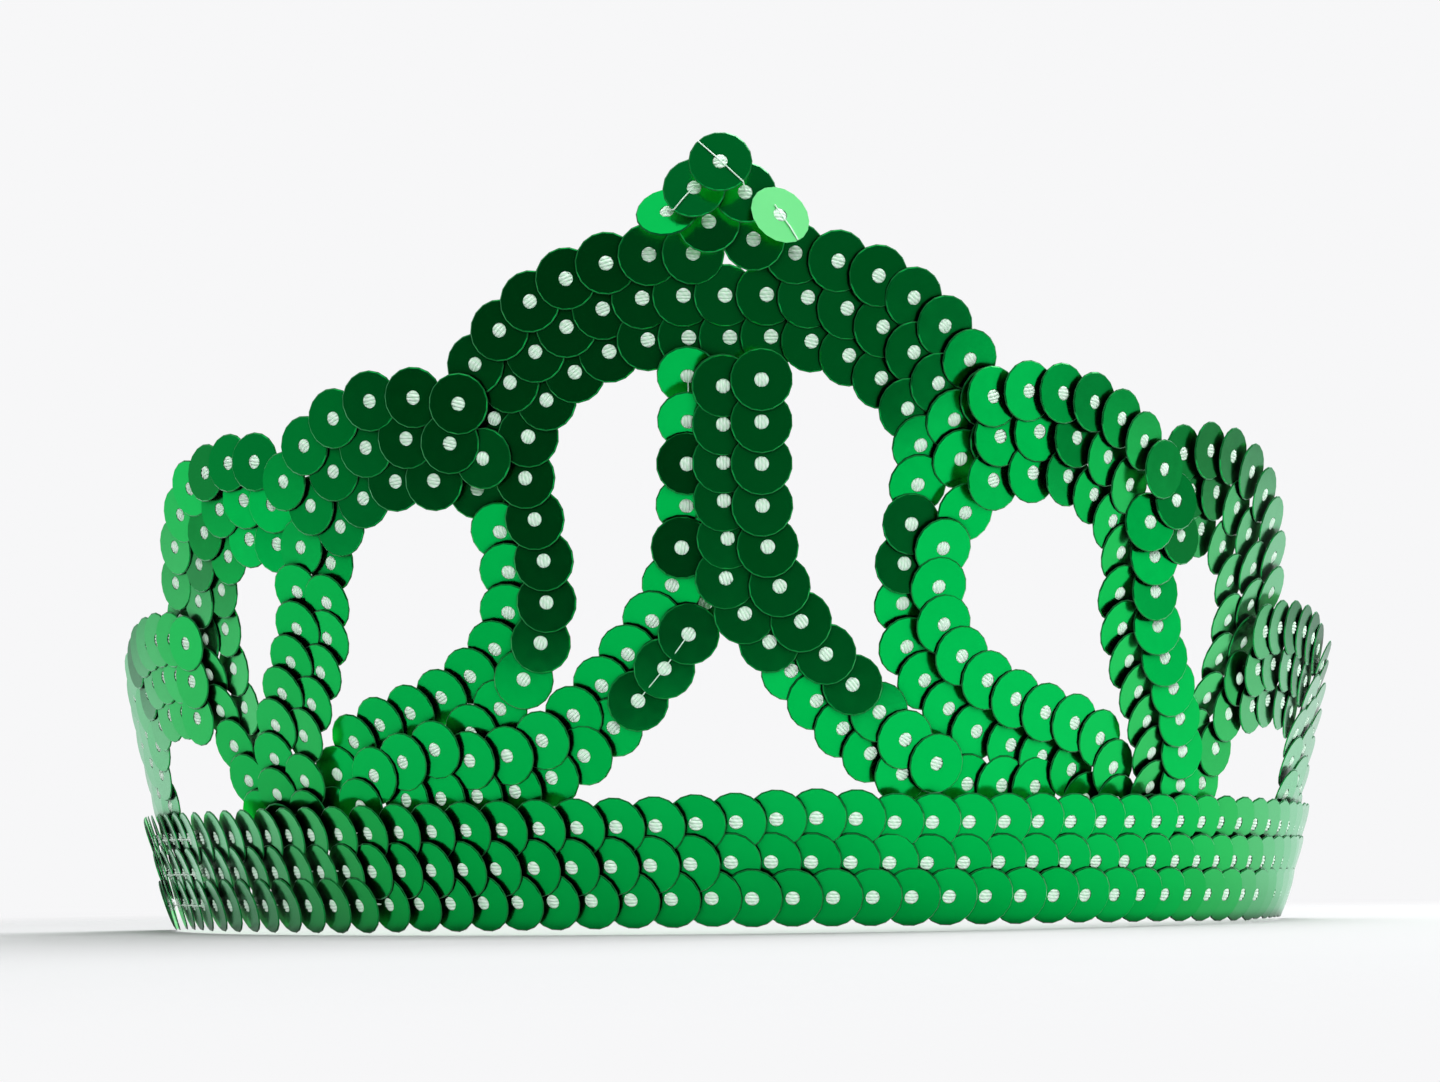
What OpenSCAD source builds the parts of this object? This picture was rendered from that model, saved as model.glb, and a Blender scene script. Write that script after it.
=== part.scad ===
// Mini tiara of sequin trim.
// A half-round wall that leans outward as it rises. Three-row sequin trim makes the base band
// and the arches over it, two two-row strips make the centre stem and the splayed legs under it,
// and loose sequins close the peak. The trims lap over each other in three layers.
// Places on the wall are given flat: s runs along the base edge from the centre front, v runs up
// the slope, and n runs out of the wall. All sizes in millimetres.

/* [Wall] */
// Radius of the half-round plan at the base edge
base_r = 63; // [56:1:70]
// Outward lean of the wall from upright, in degrees
flare = 15; // [8:1:20]

/* [Sequins] */
// Diameter of one flat sequin
sequin_d = 6; // [5.6:0.1:6.2]
// Diameter of a sequin's centre hole
hole_d = 1.2; // [0.8:0.1:1.6]
// Thickness of a loose sequin
sequin_t = 0.25; // [0.2:0.05:0.25]

/* [Trim] */
// Thickness of one layer of trim, its overlapped sequins and threads together
trim_t = 1; // [0.8:0.1:1.2]
// Clear gap between two lapped layers
layer_gap = 0.2; // [0.15:0.01:0.25]
// Number of sequins along one row of the base band
band_count = 50; // [48:1:51]
// Spacing of the sequins along the base band
band_pitch = 3.84; // [3.6:0.01:3.9]
// Spacing of the three rows of the base band
band_row_gap = 3.7; // [3.5:0.1:3.9]
// Height of the base band's lowest row of sequin centres, measured up the slope
band_first_row = 3; // [2.9:0.1:3.2]

/* [Colour] */
// Green of the sequins
sequin_green = "#0b7a34";
// Paler green of the turned sequin at the peak
pale_green = "#7fe08f";

/* [Hidden] */
$fn = 48;
sequin_r = sequin_d / 2;
layer_step = trim_t + layer_gap;
// the layers' middle planes lie at n = -layer_step, 0 and layer_step
front_n = layer_step + trim_t / 2;
// the base band's outer bottom edge is put on the floor
floor_z = front_n * sin(flare);
// slope height of the peak's top edge
peak_top = 76.8;
// reach of the peak forward and of the band's ends back; the origin lies halfway between them
peak_reach = base_r + peak_top * sin(flare) + front_n;
end_angle = band_count * band_pitch / 2 / base_r * 180 / PI;
plan_y = (peak_reach + (base_r + front_n) * cos(end_angle)) / 2;
// samples along one sequin, and along one stretch between two rows of a route table
per_sequin = 4;
fine = 10;
// how far a strip's rounded ends run past its first and last pitch, and how far their corners
// draw back
end_run = 0.9;
end_bow = 1;
// step from one loose sequin of the peak to the one in front of it
peak_step = sequin_t + 0.17;

// Routes: one row for each bend of a strip's path, from the top or front down to the band.
// columns: s, v, spacing of the strip's rows, layer of the trim (-1 back, 0 middle, 1 front)
arch_route = [
    [0, 62, 4, -1], [6.5, 61.8, 4, -1], [12.2, 59.3, 4, -1], [17, 54.2, 3.9, -1],
    [19.5, 47.5, 3.9, -1], [19.1, 41, 3.9, -1], [18.6, 35, 3.9, -1], [19.7, 29.8, 4, -1],
    [23, 26, 4.4, -1], [28, 23, 4.7, -1], [33.4, 21.3, 4.8, -1], [37.6, 19, 4.6, -1],
    [39.8, 14.5, 4.2, -1], [40.3, 10.5, 4.2, -1]];
centre_route = [
    [1.5, 57.6, 3.6, 1], [1.5, 53, 3.6, 1], [1.5, 45, 3.6, 1], [1.7, 39.5, 3.6, 1],
    [2.9, 33.6, 3.6, 1], [5.8, 28.3, 3.6, 0.8], [10.2, 22.7, 3.6, 0.1], [15, 18.2, 3.6, 0],
    [20, 15.9, 3.6, 0], [26, 15.4, 3.6, 0], [33, 15.2, 3.6, 0]];
side_route = [
    [20.5, 47.9, 4, 0], [24.5, 49.2, 4, 0], [29.3, 49.2, 4.1, 0], [34.2, 46.6, 4.1, 0],
    [38, 42, 4, 0], [39.8, 37, 3.9, 0], [40.5, 32.5, 3.9, 0], [42.6, 27.8, 3.9, 0],
    [45.5, 23, 3.9, 0], [47.4, 18.5, 3.9, 0], [48.2, 14, 3.9, 0], [48.4, 10.5, 3.9, 0]];
small_route = [
    [41, 44.2, 4, -1], [44.8, 45.2, 4, -1], [49, 44.4, 4.1, -1], [53, 40.8, 4.2, -1],
    [55.1, 35.5, 4.2, -1], [55.8, 29.5, 4, -1], [55.3, 24.5, 3.8, -1], [53.7, 19, 3.7, -1],
    [52.2, 14.5, 3.7, -1], [51.4, 10.5, 3.7, -1]];
end_route = [
    [57, 26.6, 4, 0], [61, 27.7, 4, 0], [65, 27.9, 4, 0], [70, 26.9, 4.1, 0],
    [74.1, 24.1, 4.3, 0], [77, 19.5, 4.5, 0], [77.8, 13.5, 4.5, 0], [77.8, 10.5, 4.5, 0]];

// Rows of sequins in each strip.
// columns: place across the strip in row spacings (+ is the arch's outside), first and last
// sequin of the row, counted along the strip
arch_rows = [[1, 15, 26], [0, 0, 41], [-1, 0, 41]];
centre_rows = [[0.5, 0, 13], [-0.5, 0, 15]];
side_rows = [[1, 0, 6], [0, 0, 14], [-1, 0, 14]];
small_rows = [[1, 0, 5], [0, 0, 11], [-1, 0, 11]];
end_rows = [[1, 0, 8], [0, 0, 8], [-1, 0, 8]];

// Loose sequins of the peak, from the back one to the front one.
// columns: s, v, place in the stack from the arch's face outward, turned over to its pale side
peak_table = [
    [2.4, 67, 0, false], [-0.9, 68.7, 1, false], [-3.9, 69.3, 2, false],
    [4.8, 69, 2, true], [-2.2, 71.6, 3, false], [2.2, 71.4, 4, false],
    [0, 73.8, 5, false]];

// A point of the wall.
function wall(s, v, n) =
    let (r = base_r + v * sin(flare) + n * cos(flare), a = s / base_r * 180 / PI)
    [r * sin(a), plan_y - r * cos(a), floor_z + v * cos(flare) - n * sin(flare)];

// How much longer the wall is at height v than at its base edge.
function stretch(v) = 1 + v * sin(flare) / base_r;

// A smooth curve through four neighbouring rows of a route, between the middle two.
function blend(a, b, c, d, t) =
    0.5 * (2 * b + (c - a) * t + (2 * a - 5 * b + 4 * c - d) * t * t
        + (3 * b - 3 * c + d - a) * t * t * t);

// A route's table as close points, with a short straight run past each end.
function fine_route(rows) =
    let (n = len(rows),
        q = concat([2 * rows[0] - rows[1]], rows, [2 * rows[n - 1] - rows[n - 2]]),
        inner = [for (i = [1 : n - 1], k = [0 : fine - 1])
            blend(q[i - 1], q[i], q[i + 1], q[i + 2], k / fine)])
    concat(inner, [rows[n - 1]]);

// The true distance between two points of a route, and the distances from its start.
function span(a, b) = norm([(b[0] - a[0]) * stretch((a[1] + b[1]) / 2), b[1] - a[1]]);
function distances(p) =
    [for (i = 0, l = 0; i < len(p); l = l + (i + 1 < len(p) ? span(p[i], p[i + 1]) : 0), i = i + 1) l];

// One column of a route at distance t, run straight on past both ends.
function along(p, l, c, t) =
    let (e = len(p) - 1)
    t < 0 ? p[0][c] + (p[1][c] - p[0][c]) * t / (l[1] - l[0])
    : t > l[e] ? p[e][c] + (p[e][c] - p[e - 1][c]) * (t - l[e]) / (l[e] - l[e - 1])
    : lookup(t, [for (i = [0 : e]) [l[i], p[i][c]]]);

// The strip's edge at distance t: the outline of its rows of round sequins, on one side.
function edge(rows, gap, pitch, t, side) =
    max([for (r = rows, i = [r[1] : r[2]])
        let (d = t - (i + 0.5) * pitch)
        if (abs(d) < sequin_r) side * r[0] * gap + sqrt(sequin_r * sequin_r - d * d)]);

// A point of a strip at distance t, a share of its width across from its inner edge, on its
// front face (face = 1) or its back face (face = -1).
function strip_point(p, l, rows, pitch, t, share, face) =
    let (s = along(p, l, 0, t), v = along(p, l, 1, t), gap = along(p, l, 2, t),
        ds = (along(p, l, 0, t + 0.1) - along(p, l, 0, t - 0.1)) * stretch(v),
        dv = along(p, l, 1, t + 0.1) - along(p, l, 1, t - 0.1),
        m = norm([ds, dv]),
        high = edge(rows, gap, pitch, t, 1), low = -edge(rows, gap, pitch, t, -1),
        w = low + (high - low) * share)
    wall(s - w * dv / m / stretch(v), v + w * ds / m,
        along(p, l, 3, t) * layer_step + face * trim_t / 2);

// One cross-section of a strip: its front points, then its back points the other way round. A
// bow draws the edges back from the middle, for a rounded end.
function ring(p, l, rows, pitch, t, bow) =
    let (shares = [0, 0.5, 1])
    [for (face = [1, -1], c = (face > 0 ? [0 : 2] : [2 : -1 : 0]))
        strip_point(p, l, rows, pitch, t + bow * pow(2 * shares[c] - 1, 2), shares[c], face)];

// A closed solid through a list of cross-sections with the same even number of points. Each end
// is closed by quads between its front and its back points.
module skin(rings) {
    k = len(rings[0]);
    n = len(rings);
    last = (n - 1) * k;
    polyhedron(
        points = [for (r = rings, p = r) p],
        faces = concat(
            [for (j = [0 : k / 2 - 2]) [j, j + 1, k - 2 - j, k - 1 - j]],
            [for (i = [0 : n - 2], j = [0 : k - 1])
                [i * k + j, (i + 1) * k + j, (i + 1) * k + (j + 1) % k, i * k + (j + 1) % k]],
            [for (j = [0 : k / 2 - 2]) [last + k - 1 - j, last + k - 2 - j, last + j + 1, last + j]]));
}

// A strip of trim along a route.
module strip(points, rows, count) {
    l = distances(points);
    total = l[len(l) - 1];
    pitch = total / count;
    steps = count * per_sequin;
    skin(concat(
        [ring(points, l, rows, pitch, -end_run, end_bow)],
        [for (i = [1 : steps - 1]) ring(points, l, rows, pitch, i * total / steps, 0)],
        [ring(points, l, rows, pitch, total + end_run, -end_bow)]));
}

// The right half of a route, and the same with its mirror image in front of it.
function both_halves(half) =
    concat([for (i = [len(half) - 1 : -1 : 1]) [-half[i][0], half[i][1], half[i][2], half[i][3]]], half);

// The base band: three rows along the base edge, straight below where it rests on the floor.
module base_band() {
    half = band_count * band_pitch / 2;
    steps = band_count * per_sequin;
    top_row = band_first_row + 2 * band_row_gap;
    outer = layer_step + trim_t / 2;
    inner = layer_step - trim_t / 2;
    // slope height at which a face of the wall meets the floor
    function floor_v(n) = (n * sin(flare) - floor_z) / cos(flare);
    color(sequin_green)
        skin([for (i = [0 : steps])
            let (s = -half + i * band_pitch / per_sequin,
                d = (i % per_sequin) * band_pitch / per_sequin - band_pitch / 2,
                top = top_row + sqrt(sequin_r * sequin_r - d * d))
            [wall(s, floor_v(outer), outer), wall(s, top, outer),
                wall(s, top, inner), wall(s, floor_v(inner), inner)]]);
}

// The main arch: three rows over the top and two down each leg, swept out along the band.
module main_arch()
    color(sequin_green) strip(both_halves(fine_route(arch_route)), arch_rows, 42);

// One of the two centre strips: two rows down the stem, then out as a leg. The left one stays
// in the middle layer, the right one starts in front of it.
module centre_strip(stem_layer)
    color(sequin_green)
        strip([for (p = fine_route(centre_route)) [p[0], p[1], p[2], p[3] * stem_layer]],
            centre_rows, 16);

module centre_strip_left() mirror([1, 0, 0]) centre_strip(0);
module centre_strip_right() centre_strip(1);

// The second arches, beside the main one.
module side_arch_right() color(sequin_green) strip(fine_route(side_route), side_rows, 15);
module side_arch_left() mirror([1, 0, 0]) side_arch_right();

// The third, narrower arches.
module small_arch_right() color(sequin_green) strip(fine_route(small_route), small_rows, 12);
module small_arch_left() mirror([1, 0, 0]) small_arch_right();

// The low fourth arches at the ends.
module end_arch_right() color(sequin_green) strip(fine_route(end_route), end_rows, 9);
module end_arch_left() mirror([1, 0, 0]) end_arch_right();

// One flat sequin with its centre hole, lying on the wall in front of the main arch.
module loose_sequin(s, v, place)
    translate(wall(s, v, trim_t / 2 - layer_step + layer_gap + sequin_t / 2 + place * peak_step))
        rotate([0, 0, s / base_r * 180 / PI])
            rotate([90 + flare, 0, 0])
                difference() {
                    cylinder(d = sequin_d, h = sequin_t, center = true);
                    cylinder(d = hole_d, h = sequin_t + 1, center = true);
                }

// The loose sequins that close the peak of the main arch.
module peak_sequins()
    for (p = peak_table)
        color(p[3] ? pale_green : sequin_green) loose_sequin(p[0], p[1], p[2]);

base_band();
main_arch();
centre_strip_left();
centre_strip_right();
side_arch_left();
side_arch_right();
small_arch_left();
small_arch_right();
end_arch_left();
end_arch_right();
peak_sequins();
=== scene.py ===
# Mini tiara of sequin trim: the looks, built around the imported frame.
# Each strip of trim is rebuilt as its own rows of lapped sequins, with the sewing thread through
# their holes. Lengths are millimetres on the wall, as in the part's source, and MM turns them to
# metres.
import math

import bpy
from mathutils import Matrix, Vector


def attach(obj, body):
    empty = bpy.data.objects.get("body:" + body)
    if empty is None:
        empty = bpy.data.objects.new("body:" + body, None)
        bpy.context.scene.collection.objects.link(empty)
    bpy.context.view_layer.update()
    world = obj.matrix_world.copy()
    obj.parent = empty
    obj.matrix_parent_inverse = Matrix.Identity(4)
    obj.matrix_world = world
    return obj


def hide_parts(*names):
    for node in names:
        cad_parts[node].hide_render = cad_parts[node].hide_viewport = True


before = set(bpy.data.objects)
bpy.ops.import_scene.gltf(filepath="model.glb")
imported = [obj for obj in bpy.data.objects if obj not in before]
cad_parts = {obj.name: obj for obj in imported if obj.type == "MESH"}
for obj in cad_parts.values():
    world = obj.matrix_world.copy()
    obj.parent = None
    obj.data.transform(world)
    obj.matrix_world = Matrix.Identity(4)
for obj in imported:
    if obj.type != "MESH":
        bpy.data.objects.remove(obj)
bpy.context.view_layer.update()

MM = 0.001
PER_MM = 1 / MM

# The wall that carries the trim, as in the source: a half round that leans outward, with the trim
# in three layers. The peak's top and the ends of the band give its depth.
BASE_R = 63.0
FLARE = math.radians(15.0)
WALL_T = 1.0
LAYER_STEP = 1.2
FRONT_N = LAYER_STEP + WALL_T / 2
PEAK_TOP = 76.8
BAND_HALF = 96.0

# How high the wall's base line is over the floor, and where the middle of its half round is, with
# the frame's origin halfway along the depth.
FLOOR_Z = FRONT_N * math.sin(FLARE)
PLAN_Y = (BASE_R + PEAK_TOP * math.sin(FLARE) + FRONT_N
          + (BASE_R + FRONT_N) * math.cos(BAND_HALF / BASE_R)) / 2

# One flat sequin with its die-cut edge, and how unevenly each one is sewn on, in degrees.
SEQUIN_D = 6.0
HOLE_D = 1.4
SEQUIN_T = 0.13
CUT_EDGE = 0.13
SEQUIN_SIDES = 18
UNEVEN = 1.2

# How far apart the middle planes of lapped sequins are set, a little more than their thickness,
# and how far each may move out of the wall, or into it, for that.
LAP_GAP = 0.15
LAP_MOST = 0.9

# The stitch in a hole: its length, rise and strand, the arc of a strand as shares of length and
# rise, and its strands side by side, as shares of the strand's width and of the whole length.
STITCH_LENGTH = 1.45
STITCH_RISE = 0.38
STITCH_STRAND = 0.36
STITCH_ARC = {"Start": (-0.5, 0, -0.6), "Middle": (0, 0, 1), "End": (0.5, 0, -0.6)}
STITCH_STRANDS = [(-1.35, 0.66), (-0.45, 1), (0.45, 1), (1.35, 0.66)]

# The thread along the rows: its width, by piece where it is thinner, and how far out of a
# sequin's middle it lies at the hole and halfway to the next one, behind them or in front.
STRAND = 0.18
THIN_STRAND = {"peak_sequins": 0.14, "centre_strip_left": 0.12}
THREAD_BEHIND = (-0.24, -0.30)
THREAD_IN_FRONT = (0.22, 0.3)
THREAD_SIDES = 5

# Runs of sequins, by piece and number in ROWS, whose thread has slipped in front of them, and
# between which X it has on the band, in metres.
SLIPPED_ROWS = {("centre_strip_left", 1)}
SLIPPED_BAND = (-0.0628, -0.0566)

# The camera: the photograph's width and the lens's focal length in its pixels, how far the view
# turns right, up and clockwise, in radians, and where it stands: to the right of the middle, ahead
# of the wall and above the floor.
PHOTO_WIDTH_PX = 1440
FOCAL_PX = 3053
SENSOR = 36.0
YAW, PITCH, ROLL = -0.002, 0.1088, 0.0108
CAMERA_RIGHT, CAMERA_AHEAD, CAMERA_UP = 0.15, 300, 5.74

# The backdrop's colour, and the table with the even floor beyond it, as left, front, right and
# back edges in metres.
BACKDROP = "f7f7f8"
TABLE = (-0.6, -0.092, 0.6, 1.0)
BEYOND = (-8, -8, 8, 12)

# How light the room looks round the tiara: degrees from straight in front, + to the right. From
# LOW to MID its walls grow at least as light as WALL_LIGHT, and from MID to HIGH its ceiling grows
# white. LOW, MID and HIGH are the sines of how many degrees up they are.
ROOM = [(-180, 0.4), (-78, 0.36), (-44, 0.06), (-8, 0.05), (12, 0.11), (57.5, 0.14), (60.5, 1.0),
        (70, 1.0), (77, 0.3), (130, 0.3), (180, 0.4)]
LOW, MID, HIGH = (math.sin(math.radians(degrees)) for degrees in (8, 48, 66))
WALL_LIGHT = 0.3

# The soft lights: name, place and width in metres, power in watts, whether the film mirrors it.
SOFTBOXES = [
    ("softbox_key", (0.5, 0.32, 0.3), 0.3, 4.0, False),
    ("softbox_high", (0.22, 0.25, 0.65), 0.4, 1.6, True),
    ("softbox_top", (0.05, -0.2, 0.8), 0.5, 4.4, False),
    ("softbox_front", (0.05, -0.75, 0.3), 0.5, 4.0, False)]
LIGHTS_AIM = Vector((0, 0, 0.03))

# The numbers of a colour mix's sockets, which share their names with its other kinds of mix.
MIX_A, MIX_B, MIX_OUT = 6, 7, 2

# The strips' routes, as in the source: s, v, spacing of the rows, layer.
ROUTES = {
    "main": [
        (0, 62, 4, -1), (6.5, 61.8, 4, -1), (12.2, 59.3, 4, -1), (17, 54.2, 3.9, -1),
        (19.5, 47.5, 3.9, -1), (19.1, 41, 3.9, -1), (18.6, 35, 3.9, -1), (19.7, 29.8, 4, -1),
        (23, 26, 4.4, -1), (28, 23, 4.7, -1), (33.4, 21.3, 4.8, -1), (37.6, 19, 4.6, -1),
        (39.8, 14.5, 4.2, -1), (40.3, 10.5, 4.2, -1)],
    "centre": [
        (1.5, 57.6, 3.6, 1), (1.5, 53, 3.6, 1), (1.5, 45, 3.6, 1), (1.7, 39.5, 3.6, 1),
        (2.9, 33.6, 3.6, 1), (5.8, 28.3, 3.6, 0.8), (10.2, 22.7, 3.6, 0.1), (15, 18.2, 3.6, 0),
        (20, 15.9, 3.6, 0), (26, 15.4, 3.6, 0), (33, 15.2, 3.6, 0)],
    "side": [
        (20.5, 47.9, 4, 0), (24.5, 49.2, 4, 0), (29.3, 49.2, 4.1, 0), (34.2, 46.6, 4.1, 0),
        (38, 42, 4, 0), (39.8, 37, 3.9, 0), (40.5, 32.5, 3.9, 0), (42.6, 27.8, 3.9, 0),
        (45.5, 23, 3.9, 0), (47.4, 18.5, 3.9, 0), (48.2, 14, 3.9, 0), (48.4, 10.5, 3.9, 0)],
    "small": [
        (41, 44.2, 4, -1), (44.8, 45.2, 4, -1), (49, 44.4, 4.1, -1), (53, 40.8, 4.2, -1),
        (55.1, 35.5, 4.2, -1), (55.8, 29.5, 4, -1), (55.3, 24.5, 3.8, -1), (53.7, 19, 3.7, -1),
        (52.2, 14.5, 3.7, -1), (51.4, 10.5, 3.7, -1)],
    "end": [
        (57, 26.6, 4, 0), (61, 27.7, 4, 0), (65, 27.9, 4, 0), (70, 26.9, 4.1, 0),
        (74.1, 24.1, 4.3, 0), (77, 19.5, 4.5, 0), (77.8, 13.5, 4.5, 0), (77.8, 10.5, 4.5, 0)],
    "base": [(-96, 6.7, 3.7, 1), (0, 6.7, 3.7, 1), (96, 6.7, 3.7, 1)],
}

# Rows of sequins, charted in runs. Columns: place across the strip in row spacings
# (+ is the outside), distance of the first and the last sequin along the row's own path, number
# of sequins, lean along the row, lean across it, lift. Leans are in degrees and lift the edge
# towards the next sequin and towards the outside; the lift is in mm out of the wall.
ROWS = {
    "main_arch": [
        (-0.9, 3.2, 15.2, 4, 6, -2, 1.2), (-1, 18.7, 22.8, 2, 6, -2, 0.2),
        (-1, 26.9, 51.5, 7, -7, 4, 0.4), (-1, 55.5, 102.5, 13, -6, -5, 0),
        (-1, 106.3, 110.2, 2, 7, -2, 0.3), (-1, 114.2, 114.2, 1, -7, -4, 0),
        (-1.13, 117.0, 128.8, 4, -7, -4, 0), (-1, 134.0, 149.8, 5, -7, -4, 0),
        (0.12, 1.7, 6.0, 2, 2, 2, 0.1), (0, 10.2, 42.4, 9, 8, 4, 0.1),
        (0, 46.2, 46.2, 1, -6, -5, -0.5), (0, 49.8, 49.8, 1, -6, -5, 0.9),
        (0, 53.7, 113.0, 16, -6, -5, 0),
        (0.33, 122.6, 122.6, 1, -6, -5, 0.1), (-0.1, 120.4, 158.5, 11, -4, -5, 0.6),
        (1, 51.7, 85.3, 9, -6, -5, 0), (1, 95.0, 124.3, 8, -6, -5, 0)],
    "centre_strip_left": [
        (-0.5, 4.3, 22.2, 6, -6, -2, 0), (-0.5, 28.9, 37.1, 3, 7, -2, 0.5),
        (-0.5, 25.6, 25.6, 1, 7, -2, -0.2), (-0.5, 40.9, 65.6, 7, -8, -4, 0),
        (0.42, 3.6, 7.7, 2, -14, -2, 0), (0.46, 11.8, 11.8, 1, 7, -2, 0.2),
        (0.5, 15.9, 15.9, 1, -8, -2, 0), (0.5, 19.9, 19.9, 1, 7, -2, 0.2),
        (0.5, 23.7, 52.4, 8, -8, -2, 0)],
    "centre_strip_right": [
        (-0.5, 4.6, 19.2, 5, 2, -5, 0.2), (-0.76, 23.1, 23.1, 1, 3, -5, 0.2),
        (-0.65, 26.8, 26.8, 1, 5, -5, 0.2), (-0.5, 30.1, 30.1, 1, 5, -5, 0.2),
        (-0.5, 33.7, 49.0, 5, -8, -4, 0),
        (0.5, 4.0, 36.0, 9, 7, -5, 0.5), (0.5, 40.0, 40.0, 1, 1, -5, 0.3),
        (0.34, 44.3, 44.3, 1, -7, -4, 0.2), (0.1, 49.4, 49.4, 1, -7, -4, 0),
        (-0.36, 51.8, 63.6, 4, -7, -4, -0.6)],
    "side_arch_left": [
        (-1, -0.5, -0.5, 1, 6, -5, -1.0), (-1, 3.7, 20.6, 5, 6, -5, 0),
        (-1, 24.6, 39.7, 5, -7, -4, 0.1), (-1.15, 43.5, 47.3, 2, -7, -4, 0.1),
        (0, 2.5, 26.4, 6, 6, -5, 0), (0, 31.0, 57.6, 8, -8, 3, 0.1),
        (1, 2.3, 26.5, 6, 6, -5, 0)],
    "side_arch_right": [
        (-1, 1.4, 1.4, 1, -10, -5, 0), (-1, 5.7, 5.7, 1, -7, -5, 0),
        (-0.93, 9.8, 21.0, 4, -9, -10, 0), (-1, 24.7, 50.0, 8, -9, -5, 0),
        (0, 2.9, 2.9, 1, -10, -5, 0), (0, 7.2, 7.2, 1, -7, -5, 0),
        (0, 11.5, 20.1, 3, -9, -10, 0),
        (0, 24.6, 39.2, 5, 13, 2, 0.3), (0, 42.9, 57.4, 5, 7, 3, 0.3),
        (1, 2.9, 6.7, 2, -11, -5, 0), (0.95, 10.5, 21.9, 4, -9, -10, 0),
        (0.95, 25.7, 25.7, 1, 0, -12, 0.3), (0.95, 29.5, 33.3, 2, 10, -10, 0.3)],
    "small_arch_left": [
        (-1, 0.2, 38.4, 10, 6, -5, 0),
        (0, 0.9, 25.6, 7, 6, -5, 0), (0, 29.3, 45.4, 5, -7, 3, 0.2),
        (1, 3.3, 11.3, 3, 6, -12, 0), (1.08, 15.3, 31.6, 5, 5, 1, 0)],
    "small_arch_right": [
        (-1, 0.4, 38.6, 10, -9, -6, 0),
        (0, 3.0, 27.2, 7, -9, -6, 0), (0, 31.0, 46.8, 5, 7, 3, 0.2),
        (1, 1.9, 29.3, 8, -9, -6, 0)],
    "end_arch_left": [
        (-1, 1.5, 12.4, 4, 6, -5, 0), (-1, 16.1, 27.0, 4, 5, 4, 0),
        (0, 1.8, 15.8, 5, 6, -5, 0), (0, 19.2, 33.2, 5, 5, 4, 0),
        (1, 2.5, 19.0, 6, 6, -5, 0), (1, 22.3, 42.1, 7, 5, 4, 0)],
    "end_arch_right": [
        (-1, 1.5, 12.4, 4, -4, -4, 0), (-1, 16.1, 27.0, 4, -8, 4, 0),
        (0, 1.8, 15.8, 5, -4, -4, 0), (0, 19.2, 33.2, 5, -8, 4, 0),
        (1, 2.5, 19.0, 6, -4, -4, 0), (1, 22.3, 42.1, 7, -8, 4, 0)],
    "base_band": [
        (-1, 2.5, 79.8, 22, 1, 4, 0), (-1, 83.7, 138.9, 15, 1, 4, 0), (-1, 142.6, 191.4, 14, 1, 4, 0),
        (0, 3.4, 75.4, 21, 1, 4, 0), (0, 79.4, 145.7, 18, 1, 4, 0), (0, 149.4, 193.2, 13, 1, 4, 0),
        (1, 3.3, 54.3, 16, 1, 4, 0), (1, 58.2, 151.4, 25, 1, 4, 0), (1, 155.1, 193.1, 11, 1, 4, 0)],
}

# How the band's rows change along it, at places s: their lean along it, in place of the one in
# the table, and how far each bulges upward.
BAND_LEAN = [(-96, 3), (-80, 3), (-68, 6), (-56, 9), (-42, 11), (-16, 10), (2, 6.5), (18, 5),
             (96, 5)]
BAND_BULGE = {
    -1: [(-40, 0), (0, 0.4), (10, 0.4), (40, 0.3), (80, 0)],
    0: [(-40, -0.2), (-12, 0), (2, 0.3), (20, 0), (96, 0)],
    1: [(-96, 0), (-40, 0), (-8, 0.3), (1, 0.6), (6, 0.95), (11, 0.9), (16, 0.45), (50, 0.45),
        (80, 0)],
}

# The loose sequins of the peak, in the source's order: s, v, place in the stack from the arch's
# face outward, how far the face looks up, how far it turns to the right, and whether its pale back
# shows. Angles in degrees. The stack starts a small gap in front of the main arch, with the first
# sequin in the middle of its thicker solid in the source.
PEAK = [
    (2.4, 67.1, 0, 6, 0, False), (-0.9, 68.7, 1.4, 13, 0, False),
    (-3.9, 69.4, 2.6, 39, -4, False), (4.2, 68.7, 5.4, 32, 22, True),
    (-1.9, 71.6, 4, 24, -2, False), (1.8, 71.3, 3.2, 20, 5, False),
    (0, 73.8, 6, 24, 0, False)]
PEAK_STEP = 0.42
PEAK_GAP = 0.2
PEAK_SOLID_T = 0.25
PEAK_FIRST_N = WALL_T / 2 - LAYER_STEP + PEAK_GAP + PEAK_SOLID_T / 2


def to_linear(hex_colour):
    """An sRGB hex colour as linear RGBA."""
    out = []
    for k in (0, 2, 4):
        c = int(hex_colour[k:k + 2], 16) / 255
        out.append(c / 12.92 if c <= 0.04045 else ((c + 0.055) / 1.055) ** 2.4)
    return (*out, 1.0)


def add(tree, kind, inputs=None, **settings):
    """Adds a node: settings are its properties, and inputs gives sockets a value or a source."""
    node = tree.nodes.new(kind)
    for name, value in settings.items():
        setattr(node, name, value)
    for key, value in (inputs or {}).items():
        if isinstance(value, bpy.types.NodeSocket):
            tree.links.new(value, node.inputs[key])
        else:
            node.inputs[key].default_value = value
    return node


def wall(s, v, n):
    """A point of the wall, in metres."""
    r = BASE_R + v * math.sin(FLARE) + n * math.cos(FLARE)
    a = s / BASE_R
    return Vector((r * math.sin(a), PLAN_Y - r * math.cos(a),
                   FLOOR_Z + v * math.cos(FLARE) - n * math.sin(FLARE))) * MM


def stretch(v):
    """How much longer the wall is at height v than at its base edge."""
    return 1 + v * math.sin(FLARE) / BASE_R


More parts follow.
